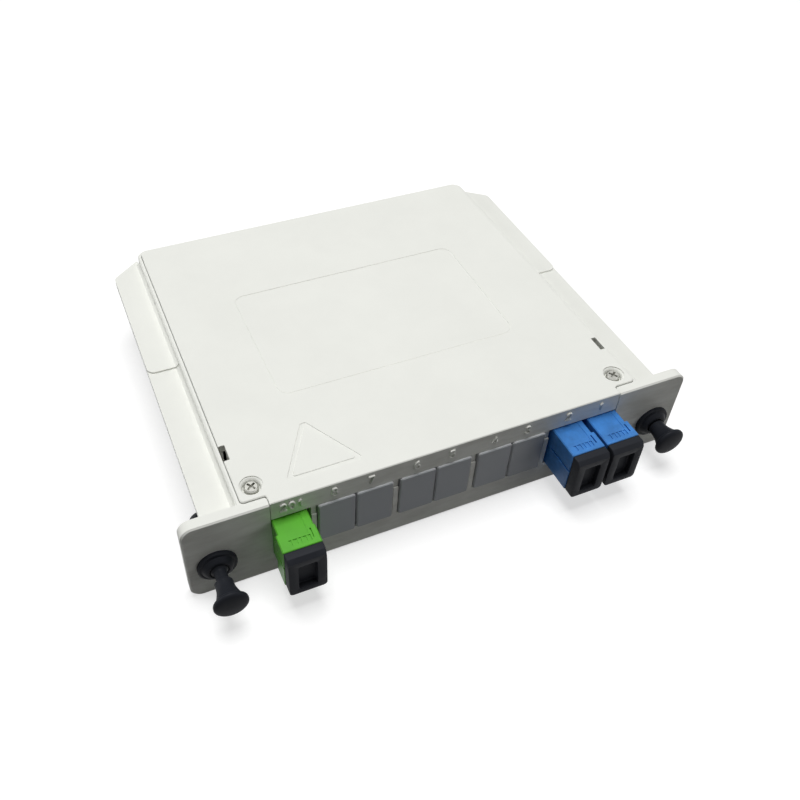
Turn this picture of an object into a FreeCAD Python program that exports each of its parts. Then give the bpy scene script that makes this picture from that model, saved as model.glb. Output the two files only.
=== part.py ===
import FreeCAD, Part
import math
import os
from FreeCAD import Vector as V

# Insert-type optical splitter module: a moulded tray with a screwed cover, a row of nine adapter
# seats in its front panel, and a push-pull latch in each ear.  One input adapter and two output
# adapters are fitted, and the six other seats hold blank plates.
#
# Millimetres.  X runs along the front panel, Y into the module and Z up.  Y = 0 is the back of the
# front panel, which seats on the shelf, and Z = 0 is the underside.

# ---- overall sizes
PANEL_W = 130.0            # front panel, ear to ear
HEIGHT = 25.0              # underside to cover top
DEPTH = 100.0              # front of the panel to the back of the tray
BODY_W = 103.6             # outside of the tray's side walls
PANEL_T = 2.8
COVER_STANDS = 0.4         # the cover's top above the tray's rim
FACE_Y = -PANEL_T          # front of the panel
REAR_Y = FACE_Y + DEPTH
RIM_Z = HEIGHT - COVER_STANDS

# ---- tray
WALL = 2.0
FLOOR = 2.0
RIM = 0.9                  # wall left outside the cover
PANEL_CORNER = 3.0
REAR_CORNER = 3.0
EDGE = 0.35                # rounding of moulded outer edges
BODY_HALF = BODY_W / 2
CAVITY_HALF = BODY_HALF - WALL
CAVITY_REAR = REAR_Y - WALL

# ---- side rails, the flanges that run in the shelf's guides
RAIL_OUT = 7.8             # how far a rail stands out from the side wall
RAIL_T = 1.7
RAIL_TOP = 21.3            # top of the rail's front part
RAIL_STEP = 0.45           # the rear part stands this much higher
RAIL_STEP_Y = FACE_Y + 52.4
RAIL_END_Y = REAR_Y - 6.3
RAIL_CORNER = 2.0
COVE = 0.8                 # web between rail and wall

# ---- cover
COVER_T = 2.0
SEAM = 0.15                # gap round the cover
COVER_EDGE = 0.2
NOTCH_FRONT_CORNER = 0.6
NOTCH_SIDE_CORNER = 0.9
COVER_CORNER = 2.0
COVER_Z = HEIGHT - COVER_T
NOTCH_Y = FACE_Y + 2.6     # the cover's edge beside the ears
COVER_HALF = BODY_HALF - RIM - SEAM
COVER_REAR = REAR_Y - RIM - SEAM
LIP_T = 2.4                # front lip over the adapters
LIP_OVER = 0.3             # its lower edge above the adapters
TOOTH_L = 2.9              # teeth that hang from it between the seats
TOOTH_BACK = 0.4           # teeth lie this far behind the lip's face

# ---- seats in the front panel: one for the input, then four pairs
SEAT_Z = 6.6               # floor of the seats
INPUT_SEAT_W = 9.4
PAIR_W = 19.0
BAR = 1.2                  # post between seats
PAIRS = 4
PORTS_W = INPUT_SEAT_W + PAIRS * (BAR + PAIR_W)
PORTS_HALF = PORTS_W / 2
SHELF_Y = 6.5              # back of the ledge that carries the adapters
GROOVE_CLEAR = 0.1

# ---- adapters
ADAPTER_W = 8.3
ADAPTER_H = 12.5
ADAPTER_OUT = 9.0          # front end ahead of the panel
ADAPTER_L = 28.0
ADAPTER_PITCH = 9.75
PAIR_SHIFT = 0.3           # the fitted pair stands this far right of its seat's middle
INPUT_GAP = 0.05           # the input adapter stands near the left end of its seat
INPUT_WIDER = (0.5, 0.3)   # extra width of the nose on the left and on the right
OUTPUT_WIDER = (0.0, 0.7)
WIDE_L = 4.8
COLLAR_Y = 1.0             # front of the collar that drops into the seat's groove
COLLAR_T = 2.4
COLLAR_OUT = 0.8
SOCKET_W = 6.9
SOCKET_H = 9.05
KEY_W = 2.4
KEY_H = 0.7
GROOVE_DEPTH = 0.3         # keying groove along each side
GROOVE_LOW = 0.2           # its lower edge above the axis
GROOVE_H = 0.6
MARK_W = 5.0               # window with ribs near the nose
MARK_L = 1.6
MARK_SINK = 0.25
MARK_FROM = 1.0
PANE_SINK = 0.12           # shallow pane behind the window
PANE_EDGE = 0.55
SLOT_W = 0.35              # narrow slot beside the pane
SLOT_L = 2.5
SLOT_IN = 1.3
SLOT_SINK = 0.5
PORT_Z = SEAT_Z + ADAPTER_H / 2
ADAPTER_FRONT = FACE_Y - ADAPTER_OUT
ADAPTER_REAR = ADAPTER_FRONT + ADAPTER_L
LIP_Z = SEAT_Z + ADAPTER_H + LIP_OVER
TOOTH_Z = LIP_Z - TOOTH_L
BAR_TOP = TOOTH_Z - 0.1    # top of the posts between the seats
JOINT_Y = ADAPTER_FRONT + ADAPTER_L / 2

# ---- ferrule alignment inside each adapter
FERRULE_R = 1.25
SLEEVE_R = 1.6
SLEEVE_BORE_R = 1.26
SLEEVE_L = 11.4
HOLDER_TUBE_R = 2.25       # across its corners
HOLDER_TUBE_L = 6.0
HOLDER_W = 7.1
HOLDER_H = 9.8
HOLDER_T = 1.2
ARM_L = 7.0
ARM_T = 0.7
ARM_W = 2.4
ARM_GAP = 3.4              # arm's inner face above the axis
PLUG_HALF_H = 2.9          # half height of what goes between the arms

# ---- dust caps
CAP_T = 2.65
CAP_IN = 0.2               # the flange starts this far in from the nose's left side
CAP_DOWN = 0.35            # and this far below its top
CAP_H = 12.6
CAP_CORNER = 0.5
CAP_SLOPE = 0.9            # drop of the sloping top edge
RECESS_W = 4.4             # finger recess
RECESS_H = 8.2
RECESS_LOW = 1.7
RECESS_SINK = 1.5
CAP_PLUG_L = 9.0
CAP_PLUG_W = 6.2

# ---- blank plates
BLANK_W = 8.9
BLANK_PITCH = 9.4
BLANK_H = ADAPTER_H + 0.2
BLANK_OUT = 0.5            # face ahead of the panel
BLANK_WALL = 1.1
BLANK_BACK_Y = 4.8

# ---- latches
LATCH_X = PANEL_W / 2 - 6.8
LATCH_Z = 10.05
LATCH_FLANGE_R = 4.6
LATCH_FLANGE_T = 1.1
LATCH_DOME = 2.2           # height of the flange's domed middle
LATCH_BARREL_R = 3.2
LATCH_BORE_R = 2.2
LATCH_BEAD = 0.25          # bead that holds the grommet in the ear
LATCH_BEAD_L = 0.6
LATCH_BARREL_END = 9.0
LATCH_NOSE_L = 1.6
LATCH_SLIT = 0.8
LATCH_FIT = 0.05
PLUNGER_R = 2.08
PLUNGER_NECK_R = 1.75
PLUNGER_HEAD_R = 4.0
FLARE = ((1.1, 0.0), (1.8, 1.05), (2.9, 1.6), (4.2, 1.92))  # trumpet: distance behind the head, radius lost
SHOULDER = 7.6             # end of the trumpet behind the head
NECK_L = 1.6
PLUNGER_TIP_Y = 7.6        # tip of a plunger that is pulled right out
PLUNGER_HEAD_Y = FACE_Y - 11.6
RIGHT_PUSHED = 2.9         # the right plunger stands this much further in

# ---- cover screws
SCREW_X = BODY_HALF - 4.6
SCREW_Y = FACE_Y + 6.45
BOSS_R = 2.0
PILOT_R = 0.92
PAD_HALF = 2.2             # square pad under the cover at each screw
PAD_T = 1.0
SCREW_POCKET_R = 2.65
SCREW_POCKET = 1.5
SCREW_HEAD_R = 1.7
SCREW_HEAD_H = 1.15
SCREW_SHANK_R = 0.9
SCREW_L = 8.0
SLOT_REACH = 1.15          # cross recess
SLOT_HALF = 0.28

# ---- cover clips and their windows
CLIP_Y0 = FACE_Y + 15.2
CLIP_L = 4.6
CLIP_WINDOW_X = COVER_HALF - 1.45
CLIP_T = 0.9
CLIP_REACH = 8.0

# ---- shallow label recess in the cover
LABEL_HALF_W = 32.4
LABEL_Y0 = FACE_Y + 29.9
LABEL_Y1 = FACE_Y + 69.5
LABEL_CORNER = 3.0
LABEL_SINK = 0.06

# ---- splitter module and its fibres
MODULE_X = -5.0
MODULE_Y = REAR_Y - 15.0
MODULE_L = 40.0
MODULE_W = 7.0
MODULE_H = 4.0
MODULE_BOOT_L = 4.0
FIBRE_R = 0.45
FIBRE_CLEAR = 0.03
FIBRE_SPREAD = 1.4
TIGHT_BEND = 11.5          # bend of the input fibre and of output 2
WIDE_BEND = 20.0           # bend of output 1
CONNECTOR_OUT = 8.0        # connector body behind the adapter
CONNECTOR_IN = 11.0
BOOT_L = 11.0


def block(x0, x1, y0, y1, z0, z1):
    """Box between two corners."""
    return Part.makeBox(x1 - x0, y1 - y0, z1 - z0, V(x0, y0, z0))


def bar_y(radius, x, z, y0, y1):
    """Round bar along Y."""
    return Part.makeCylinder(radius, y1 - y0, V(x, y0, z), V(0, 1, 0))


def bar_z(radius, x, y, z0, z1):
    """Round bar along Z."""
    return Part.makeCylinder(radius, z1 - z0, V(x, y, z0), V(0, 0, 1))


def outline(corners):
    """Closed wire through (point, radius) corners; a corner with a radius becomes a tangent arc."""
    spans = []
    for index, (corner, radius) in enumerate(corners):
        before = corners[index - 1][0]
        after = corners[(index + 1) % len(corners)][0]
        if radius == 0:
            spans.append((corner, None, corner))
            continue
        back = (before - corner).normalize()
        ahead = (after - corner).normalize()
        half = back.getAngle(ahead) / 2
        inward = (back + ahead).normalize()
        reach = radius / math.tan(half)
        middle = corner + inward * (radius / math.sin(half) - radius)
        spans.append((corner + back * reach, middle, corner + ahead * reach))
    edges = []
    for index, (start, middle, end) in enumerate(spans):
        if middle is not None:
            edges.append(Part.Arc(start, middle, end).toShape())
        following = spans[(index + 1) % len(spans)][0]
        if (following - end).Length > 1e-6:
            edges.append(Part.LineSegment(end, following).toShape())
    return Part.Wire(edges)


def prism(corners, direction):
    """Solid swept from an outline along a vector."""
    return Part.Face(outline(corners)).extrude(direction)


def slab_y(x0, x1, z0, z1, y0, y1, radius):
    """Plate across Y with four rounded corners."""
    points = (V(x0, y0, z0), V(x1, y0, z0), V(x1, y0, z1), V(x0, y0, z1))
    return prism([(point, radius) for point in points], V(0, y1 - y0, 0))


def break_edges(shape, size, chosen):
    """Chamfer the edges of a solid for which chosen(edge) is true."""
    return shape.makeChamfer(size, [edge for edge in shape.Edges if chosen(edge)])


def along(axis):
    """Test for edges that run straight along one axis."""
    across = [letter + "Length" for letter in "XYZ" if letter != axis]

    def chosen(edge):
        return all(getattr(edge.BoundBox, name) < 1e-4 for name in across)
    return chosen


def ring_of(centre, run, radius):
    """Eight points round a line that runs along X or Y."""
    points = []
    for corner in range(8):
        turn = math.pi / 8 + corner * math.pi / 4
        across = radius * math.cos(turn)
        up = radius * math.sin(turn)
        points.append(centre + (V(across, 0, up) if run.x == 0 else V(0, across, up)))
    return points


def thin_tube(start, run, radius):
    """Eight-sided bar from a point along X or Y: what is thin and stands inside the tray."""
    corners = ring_of(start, run, radius)
    return Part.Face(Part.makePolygon(corners + corners[:1])).extrude(run)


def soft_block(x0, x1, y0, y1, z0, z1, size):
    """Box whose four edges along Y are broken."""
    return break_edges(block(x0, x1, y0, y1, z0, z1), size, along("Y"))


def on_plane(axis, value):
    """Test for edges that lie in the plane where one coordinate has a value."""
    low = axis + "Min"
    high = axis + "Max"

    def chosen(edge):
        bounds = edge.BoundBox
        return abs(getattr(bounds, low) - value) < 1e-4 and abs(getattr(bounds, high) - value) < 1e-4
    return chosen


def turned(profile, x, z):
    """Solid turned about the Y line through (x, z) from (radius, y) points."""
    wire = Part.makePolygon([V(x + radius, y, z) for radius, y in profile + profile[:1]])
    return Part.Face(wire).revolve(V(x, 0, z), V(0, 1, 0), 360)


def fuse(shapes):
    """One clean solid of several that meet."""
    return shapes[0].multiFuse(shapes[1:]).removeSplitter()


def save(name, shape):
    """Write one sub-part."""
    solid = shape.Solids[0] if len(shape.Solids) == 1 else shape
    solid.exportStep("parts/" + name + ".step")


# ---------------------------------------------------------------- seats


def pair_left(pair):
    """Left wall of a pair of seats, counted from the input."""
    return -PORTS_HALF + INPUT_SEAT_W + BAR + pair * (PAIR_W + BAR)


def seat_spans():
    """X limits of every opening in the panel."""
    spans = [(-PORTS_HALF, -PORTS_HALF + INPUT_SEAT_W)]
    for pair in range(PAIRS):
        spans.append((pair_left(pair), pair_left(pair) + PAIR_W))
    return spans


def bar_spans():
    """X limits of every post between the openings."""
    return [(pair_left(pair) - BAR, pair_left(pair)) for pair in range(PAIRS)]


def port_x(port):
    """Centre of an output port, 8 on the left to 1 on the right."""
    pair = (8 - port) // 2
    side = -1 if port % 2 == 0 else 1
    middle = pair_left(pair) + PAIR_W / 2
    if port > 2:
        return middle + side * BLANK_PITCH / 2
    return middle + PAIR_SHIFT + side * ADAPTER_PITCH / 2


INPUT_X = -PORTS_HALF + INPUT_GAP + ADAPTER_W / 2


# ---------------------------------------------------------------- tray


def cover_outline(grow):
    """Plan of the cover at its lower face, grown on every side that faces the tray."""
    half = COVER_HALF + grow
    front = PORTS_HALF - SEAM / 2 + grow
    right = [
        (V(front, FACE_Y, COVER_Z), 0),
        (V(front, NOTCH_Y - grow, COVER_Z), NOTCH_FRONT_CORNER),
        (V(half, NOTCH_Y - grow, COVER_Z), NOTCH_SIDE_CORNER + grow),
        (V(half, COVER_REAR + grow, COVER_Z), COVER_CORNER + grow),
    ]
    left = [(V(-point.x, point.y, point.z), radius) for point, radius in reversed(right)]
    return right + left


def rail(side):
    """Guide rail on one side: a thin flange whose rear part is raised, with a cut-off rear corner."""
    inner = side * (BODY_HALF - 0.5)
    outer = side * (BODY_HALF + RAIL_OUT)
    low = RAIL_TOP - RAIL_T
    tail = [
        (V(outer, RAIL_END_Y, low), RAIL_CORNER),
        (V(side * (BODY_HALF + 0.3), REAR_Y - 0.4, low), 0),
        (V(inner, REAR_Y - 3.2, low), 0),
    ]
    full = [(V(inner, -0.5, low), 0), (V(outer, -0.5, low), 0)] + tail
    raised = [(V(inner, RAIL_STEP_Y, low), 0), (V(outer, RAIL_STEP_Y, low), RAIL_CORNER)] + tail
    flange = prism(full, V(0, 0, RAIL_T))
    return [flange, prism(raised, V(0, 0, RAIL_T + RAIL_STEP))]


def cove(side, top, y0, y1):
    """Sloping web in the corner between a rail's top and the side wall."""
    inside = side * (BODY_HALF - 0.2)
    out = side * (BODY_HALF + COVE)
    points = (V(inside, y0, top + COVE), V(side * BODY_HALF, y0, top + COVE), V(out, y0, top), V(inside, y0, top))
    return prism([(point, 0) for point in points], V(0, y1 - y0, 0))


def fence(x, y, bend, start):
    """Guide post inside a fibre's bend about (x, y): a 70 degree arc of wall on the floor."""
    centre = V(x, y, FLOOR - 0.2)
    outer = bend - 2 * FIBRE_R
    height = PORT_Z + 3 - centre.z
    ring = Part.makeCylinder(outer, height, centre, V(0, 0, 1), 70)
    ring = ring.cut(Part.makeCylinder(outer - 1.2, height, centre, V(0, 0, 1), 360))
    ring.rotate(centre, V(0, 0, 1), start)
    return ring


def module_cradle(x):
    """Post with a channel that the splitter module snaps into."""
    half = MODULE_W / 2
    low = PORT_Z - MODULE_H / 2
    post = block(x - 2, x + 2, MODULE_Y - half - 1.2, MODULE_Y + half + 1.2, FLOOR - 0.2, low + MODULE_H)
    return post.cut(block(x - 3, x + 3, MODULE_Y - half - 0.05, MODULE_Y + half + 0.05, low, HEIGHT))


def base_tray():
    """Tray, rails, ears and seats, moulded in one."""
    plan = [
        (V(-BODY_HALF, -0.5, 0), 0),
        (V(BODY_HALF, -0.5, 0), 0),
        (V(BODY_HALF, REAR_Y, 0), REAR_CORNER),
        (V(-BODY_HALF, REAR_Y, 0), REAR_CORNER),
    ]
    body = break_edges(prism(plan, V(0, 0, RIM_Z)), EDGE, on_plane("Z", RIM_Z))
    half = PANEL_W / 2
    panel = slab_y(-half, half, 0, RIM_Z, FACE_Y, 0, PANEL_CORNER)
    panel = break_edges(panel, EDGE, on_plane("Y", FACE_Y))
    pieces = [body, panel]
    for side in (-1, 1):
        pieces += rail(side)
        pieces.append(cove(side, RAIL_TOP, -0.2, RAIL_STEP_Y))
        pieces.append(cove(side, RAIL_TOP + RAIL_STEP, RAIL_STEP_Y, REAR_Y - REAR_CORNER))
    tray = fuse(pieces)

    inner = [
        (V(-CAVITY_HALF, 0, FLOOR), 0),
        (V(CAVITY_HALF, 0, FLOOR), 0),
        (V(CAVITY_HALF, CAVITY_REAR, FLOOR), REAR_CORNER - WALL / 2),
        (V(-CAVITY_HALF, CAVITY_REAR, FLOOR), REAR_CORNER - WALL / 2),
    ]
    cuts = [prism(inner, V(0, 0, HEIGHT)), prism(cover_outline(SEAM), V(0, 0, HEIGHT))]
    opening = PORTS_HALF + SEAM / 2
    cuts.append(block(-opening, opening, FACE_Y - 1, 1, BAR_TOP, HEIGHT))
    for left, right in seat_spans():
        cuts.append(block(left, right, FACE_Y - 1, 1, SEAT_Z, HEIGHT))
    for side in (-1, 1):
        cuts.append(bar_y(LATCH_BARREL_R + LATCH_FIT, side * LATCH_X, LATCH_Z, FACE_Y - 1, 1))
    tray = tray.cut(cuts)

    inside = [block(-PORTS_HALF, PORTS_HALF, -0.2, SHELF_Y, FLOOR - 0.2, SEAT_Z)]
    for left, right in bar_spans():
        inside.append(block(left, right, -0.2, SHELF_Y, SEAT_Z - 0.2, BAR_TOP))
    for side in (-1, 1):
        boss_top = COVER_Z - PAD_T
        inside.append(bar_z(BOSS_R, side * SCREW_X, SCREW_Y, FLOOR - 0.2, boss_top))
        web_x = sorted((side * (SCREW_X + 1), side * (CAVITY_HALF + 0.2)))
        inside.append(block(web_x[0], web_x[1], SCREW_Y - 0.6, SCREW_Y + 0.6, FLOOR - 0.2, boss_top - 1))
    inside.append(fence(INPUT_X + TIGHT_BEND, MODULE_Y - TIGHT_BEND, TIGHT_BEND, 100))
    inside.append(fence(port_x(2) - TIGHT_BEND, MODULE_Y - FIBRE_SPREAD / 2 - TIGHT_BEND, TIGHT_BEND, 10))
    for end in (-1, 1):
        inside.append(module_cradle(MODULE_X + end * (MODULE_L / 2 - 6)))
    tray = fuse([tray] + inside)

    groove = block(-PORTS_HALF, PORTS_HALF, COLLAR_Y - GROOVE_CLEAR, COLLAR_Y + COLLAR_T + GROOVE_CLEAR,
                   SEAT_Z - COLLAR_OUT - GROOVE_CLEAR, SEAT_Z)
    cuts = [groove]
    for side in (-1, 1):
        cuts.append(bar_z(PILOT_R, side * SCREW_X, SCREW_Y, COVER_Z - SCREW_L - 2, COVER_Z))
        pocket = sorted((side * (CAVITY_HALF - 0.2), side * (COVER_HALF + SEAM)))
        clip_z = COVER_Z - CLIP_REACH
        cuts.append(block(pocket[0], pocket[1], CLIP_Y0, CLIP_Y0 + CLIP_L, clip_z, COVER_Z + 0.1))
        tongue = side * BODY_HALF / 2
        cuts.append(block(tongue - 4.2, tongue + 4.2, CAVITY_REAR - 0.2, CAVITY_REAR + 1.4,
                          COVER_Z - 1.6, COVER_Z - 0.0))
    tray = tray.cut(cuts)
    catches = []
    for side in (-1, 1):
        catch = sorted((side * (CAVITY_HALF + 0.3), side * (COVER_HALF + SEAM + 0.2)))
        catches.append(block(catch[0], catch[1], CLIP_Y0 - 0.2, CLIP_Y0 + CLIP_L + 0.2,
                             COVER_Z - CLIP_REACH + 2.4, COVER_Z - CLIP_REACH + 3.4))
    return fuse([tray] + catches)


# ---------------------------------------------------------------- cover


def cover_clip(side):
    """Hooked tongue under a clip window, sprung against the side wall."""
    outer = side * (CLIP_WINDOW_X - 0.05)
    inner = outer - side * CLIP_T
    low = COVER_Z - CLIP_REACH + 0.6
    hook = side * (CAVITY_HALF + 0.9)
    points = (
        V(inner, 0, COVER_Z + 0.2), V(inner, 0, low), V(outer, 0, low), V(hook, 0, low + 1.0),
        V(hook, 0, low + 1.6), V(outer, 0, low + 1.6), V(outer, 0, COVER_Z + 0.2),
    )
    tongue = prism([(point, 0) for point in points], V(0, CLIP_L - 0.8, 0))
    tongue.translate(V(0, CLIP_Y0 + 0.4, 0))
    return tongue


def top_cover():
    """Cover plate with its front lip, teeth, hold-down ribs, screw bosses, clips and rear tongues."""
    plate = prism(cover_outline(0), V(0, 0, COVER_T))
    plate = break_edges(plate, COVER_EDGE, on_plane("Z", HEIGHT))
    lip_half = PORTS_HALF - SEAM / 2
    pieces = [plate, block(-lip_half, lip_half, FACE_Y, FACE_Y + LIP_T, LIP_Z, COVER_Z + 0.2)]
    for left, right in bar_spans():
        pieces.append(block(left, right, FACE_Y + TOOTH_BACK, FACE_Y + LIP_T, TOOTH_Z, LIP_Z + 0.2))
    rib_z = SEAT_Z + ADAPTER_H + COLLAR_OUT + 0.05
    for left, right in seat_spans():
        pieces.append(block(left + 0.6, right - 0.6, COLLAR_Y + 0.2, COLLAR_Y + COLLAR_T - 0.2,
                            rib_z, COVER_Z + 0.2))
    for side in (-1, 1):
        pad_x = side * SCREW_X
        pieces.append(block(pad_x - PAD_HALF, pad_x + PAD_HALF, SCREW_Y - PAD_HALF, SCREW_Y + PAD_HALF,
                            COVER_Z - PAD_T, COVER_Z + 0.2))
        pieces.append(cover_clip(side))
        tongue = side * BODY_HALF / 2
        pieces.append(block(tongue - 4, tongue + 4, CAVITY_REAR - 2.5, CAVITY_REAR + 1.2,
                            COVER_Z - 1.5, COVER_Z - 0.1))
        pieces.append(block(tongue - 4, tongue + 4, CAVITY_REAR - 2.5, CAVITY_REAR - 1.0,
                            COVER_Z - 0.2, COVER_Z + 0.2))
    cover = fuse(pieces)

    sunk = HEIGHT - LABEL_SINK
    label = [V(-LABEL_HALF_W, LABEL_Y0, sunk), V(LABEL_HALF_W, LABEL_Y0, sunk),
             V(LABEL_HALF_W, LABEL_Y1, sunk), V(-LABEL_HALF_W, LABEL_Y1, sunk)]
    cuts = [prism([(corner, LABEL_CORNER) for corner in label], V(0, 0, 1))]
    for side in (-1, 1):
        cuts.append(bar_z(SCREW_POCKET_R, side * SCREW_X, SCREW_Y, HEIGHT - SCREW_POCKET, HEIGHT + 1))
        cuts.append(bar_z(SCREW_SHANK_R + 0.2, side * SCREW_X, SCREW_Y, LIP_Z, HEIGHT))
        window = sorted((side * CLIP_WINDOW_X, side * (COVER_HALF + 1)))
        cuts.append(block(window[0], window[1], CLIP_Y0, CLIP_Y0 + CLIP_L, COVER_Z - 0.5, HEIGHT + 1))
    return cover.cut(cuts)


def cover_screw(side):
    """Pan-head self-tapping screw with a cross recess."""
    x = side * SCREW_X
    seat = HEIGHT - SCREW_POCKET
    head = bar_z(SCREW_HEAD_R, x, SCREW_Y, seat, seat + SCREW_HEAD_H)
    head = break_edges(head, 0.35, on_plane("Z", seat + SCREW_HEAD_H))
    screw = fuse([head, bar_z(SCREW_SHANK_R, x, SCREW_Y, seat - SCREW_L, seat + 0.1)])
    top = seat + SCREW_HEAD_H
    for angle in (0, 90):
        slot = block(x - SLOT_REACH, x + SLOT_REACH, SCREW_Y - SLOT_HALF, SCREW_Y + SLOT_HALF, top - 0.8, top + 1)
        slot.rotate(V(x, SCREW_Y, 0), V(0, 0, 1), angle + 35)
        screw = screw.cut(slot)
    return screw


# ---------------------------------------------------------------- blank plates


def blank_plate(port):
    """Plug for an unused seat: a shallow cup whose collar drops into the seat's groove."""
    x = port_x(port)
    half = BLANK_W / 2
    top = SEAT_Z + BLANK_H
    face = FACE_Y - BLANK_OUT
    plate = soft_block(x - half, x + half, face, face + 2.0, SEAT_Z, top, 0.3)
    plate = break_edges(plate, 0.2, on_plane("Y", face))
    cup = block(x - half, x + half, face + 1, BLANK_BACK_Y, SEAT_Z, SEAT_Z + ADAPTER_H)
    collar = block(x - half, x + half, COLLAR_Y, COLLAR_Y + COLLAR_T,
                   SEAT_Z - COLLAR_OUT, SEAT_Z + ADAPTER_H + COLLAR_OUT)
    hollow = block(x - half + BLANK_WALL, x + half - BLANK_WALL, face + 1.6, BLANK_BACK_Y + 1,
                   SEAT_Z + BLANK_WALL, SEAT_Z + ADAPTER_H - BLANK_WALL)
    return fuse([plate, cup, collar]).cut(hollow)


# ---------------------------------------------------------------- adapters


def socket(x, y0, y1):
    """Rectangular socket through an adapter half, with its key slot."""
    half_w = SOCKET_W / 2
    half_h = SOCKET_H / 2
    hole = block(x - half_w, x + half_w, y0, y1, PORT_Z - half_h, PORT_Z + half_h)
    return hole.fuse(block(x - KEY_W / 2, x + KEY_W / 2, y0, y1, PORT_Z, PORT_Z + half_h + KEY_H))


def holder_pocket(x, y0, y1):
    """Pocket that traps a sleeve holder's flange."""
    half_w = HOLDER_W / 2 + 0.05
    half_h = HOLDER_H / 2 + 0.05
    return block(x - half_w, x + half_w, y0, y1, PORT_Z - half_h, PORT_Z + half_h)


def adapter_front(x, wider):
    """Front half of an adapter: wider nose, key slot, side groove and a ribbed pocket on top."""
    left = x - ADAPTER_W / 2
    right = x + ADAPTER_W / 2
    top = SEAT_Z + ADAPTER_H
    step = ADAPTER_FRONT + WIDE_L
    nose_left = left - wider[0]
    nose_right = right + wider[1]
    nose = soft_block(nose_left, nose_right, ADAPTER_FRONT, step, SEAT_Z, top, 0.25)
    nose = break_edges(nose, 0.15, on_plane("Y", ADAPTER_FRONT))
    neck = soft_block(left, right, step - 0.5, JOINT_Y, SEAT_Z, top, 0.25)
    collar = block(left, right, COLLAR_Y, JOINT_Y, SEAT_Z - COLLAR_OUT, top + COLLAR_OUT)
    shell = fuse([nose, neck, collar])
    window_y = ADAPTER_FRONT + MARK_FROM
    pane_y = window_y + MARK_L + 0.5
    slot_x = nose_right - SLOT_IN - SLOT_W
    window = block(x - MARK_W / 2, x + MARK_W / 2, window_y, window_y + MARK_L, top - MARK_SINK, top + 1)
    groove_z = PORT_Z + GROOVE_LOW
    cuts = [
        socket(x, ADAPTER_FRONT - 1, JOINT_Y + 1),
        holder_pocket(x, JOINT_Y - HOLDER_T - 0.02, JOINT_Y + 1),
        window,
        block(left + PANE_EDGE, slot_x - PANE_EDGE, pane_y, FACE_Y + 0.4, top - PANE_SINK, top + 1),
        block(slot_x, slot_x + SLOT_W, window_y + 0.6, window_y + 0.6 + SLOT_L, top - SLOT_SINK, top + 1),
        block(nose_left - 1, nose_left + GROOVE_DEPTH, ADAPTER_FRONT - 1, step + 0.1,
              groove_z, groove_z + GROOVE_H),
        block(left - 1, left + GROOVE_DEPTH, step, FACE_Y - 0.8, groove_z, groove_z + GROOVE_H),
        block(nose_right - GROOVE_DEPTH, nose_right + 1, ADAPTER_FRONT - 1, step - 1.2,
              groove_z, groove_z + GROOVE_H),
    ]
    shell = shell.cut(cuts)
    ribs = []
    for offset in (-1.9, -0.6, 0.3, 1.5):
        ribs.append(block(x + offset, x + offset + 0.4, window_y - 0.1, window_y + MARK_L + 0.1,
                          top - MARK_SINK - 0.1, top - 0.05))
    return fuse([shell] + ribs)


def adapter_rear(x):
    """Rear half of an adapter, inside the tray."""
    left = x - ADAPTER_W / 2
    right = x + ADAPTER_W / 2
    top = SEAT_Z + ADAPTER_H
    shell = soft_block(left, right, JOINT_Y, ADAPTER_REAR, SEAT_Z, top, 0.25)
    collar = block(left, right, JOINT_Y, COLLAR_Y + COLLAR_T, SEAT_Z - COLLAR_OUT, top + COLLAR_OUT)
    cuts = [
        socket(x, JOINT_Y - 1, ADAPTER_REAR + 1),
        holder_pocket(x, JOINT_Y - 1, JOINT_Y + HOLDER_T + 0.02),
        block(left - 1, left + GROOVE_DEPTH, JOINT_Y + 3, ADAPTER_REAR + 1,
              PORT_Z + GROOVE_LOW, PORT_Z + GROOVE_LOW + GROOVE_H),
    ]
    return fuse([shell, collar]).cut(cuts)


def sleeve_holder(x, way):
    """Flange, tube and two hooked arms on one side of the adapter's joint; way is -1 ahead, 1 behind."""
    def span(start, end):
        return sorted((JOINT_Y + way * start, JOINT_Y + way * end))

    half_w = HOLDER_W / 2
    half_h = HOLDER_H / 2
    y0, y1 = span(0, HOLDER_T)
    pieces = [block(x - half_w, x + half_w, y0, y1, PORT_Z - half_h, PORT_Z + half_h)]
    y0, y1 = span(0, HOLDER_T + HOLDER_TUBE_L)
    pieces.append(thin_tube(V(x, y0, PORT_Z), V(0, y1 - y0, 0), HOLDER_TUBE_R))
    for up in (-1, 1):
        z0, z1 = sorted((PORT_Z + up * ARM_GAP, PORT_Z + up * (ARM_GAP + ARM_T)))
        y0, y1 = span(0, HOLDER_T + ARM_L)
        pieces.append(block(x - ARM_W / 2, x + ARM_W / 2, y0, y1, z0, z1))
        z0, z1 = sorted((PORT_Z + up * (ARM_GAP - 0.3), PORT_Z + up * (ARM_GAP + ARM_T)))
        y0, y1 = span(HOLDER_T + ARM_L - 0.8, HOLDER_T + ARM_L)
        pieces.append(block(x - ARM_W / 2, x + ARM_W / 2, y0, y1, z0, z1))
    y0, y1 = span(-1, HOLDER_T + HOLDER_TUBE_L + 1)
    bore = (SLEEVE_R + 0.05) / math.cos(math.pi / 8)
    return fuse(pieces).cut(thin_tube(V(x, y0, PORT_Z), V(0, y1 - y0, 0), bore))


def split_sleeve(x):
    """Ceramic sleeve, slit along its length, that lines two ferrules up."""
    y0 = JOINT_Y - SLEEVE_L / 2
    y1 = JOINT_Y + SLEEVE_L / 2
    tube = bar_y(SLEEVE_R, x, PORT_Z, y0, y1).cut(bar_y(SLEEVE_BORE_R, x, PORT_Z, y0 - 1, y1 + 1))
    return tube.cut(block(x - 0.25, x + 0.25, y0 - 1, y1 + 1, PORT_Z, PORT_Z + 2 * SLEEVE_R))


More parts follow.
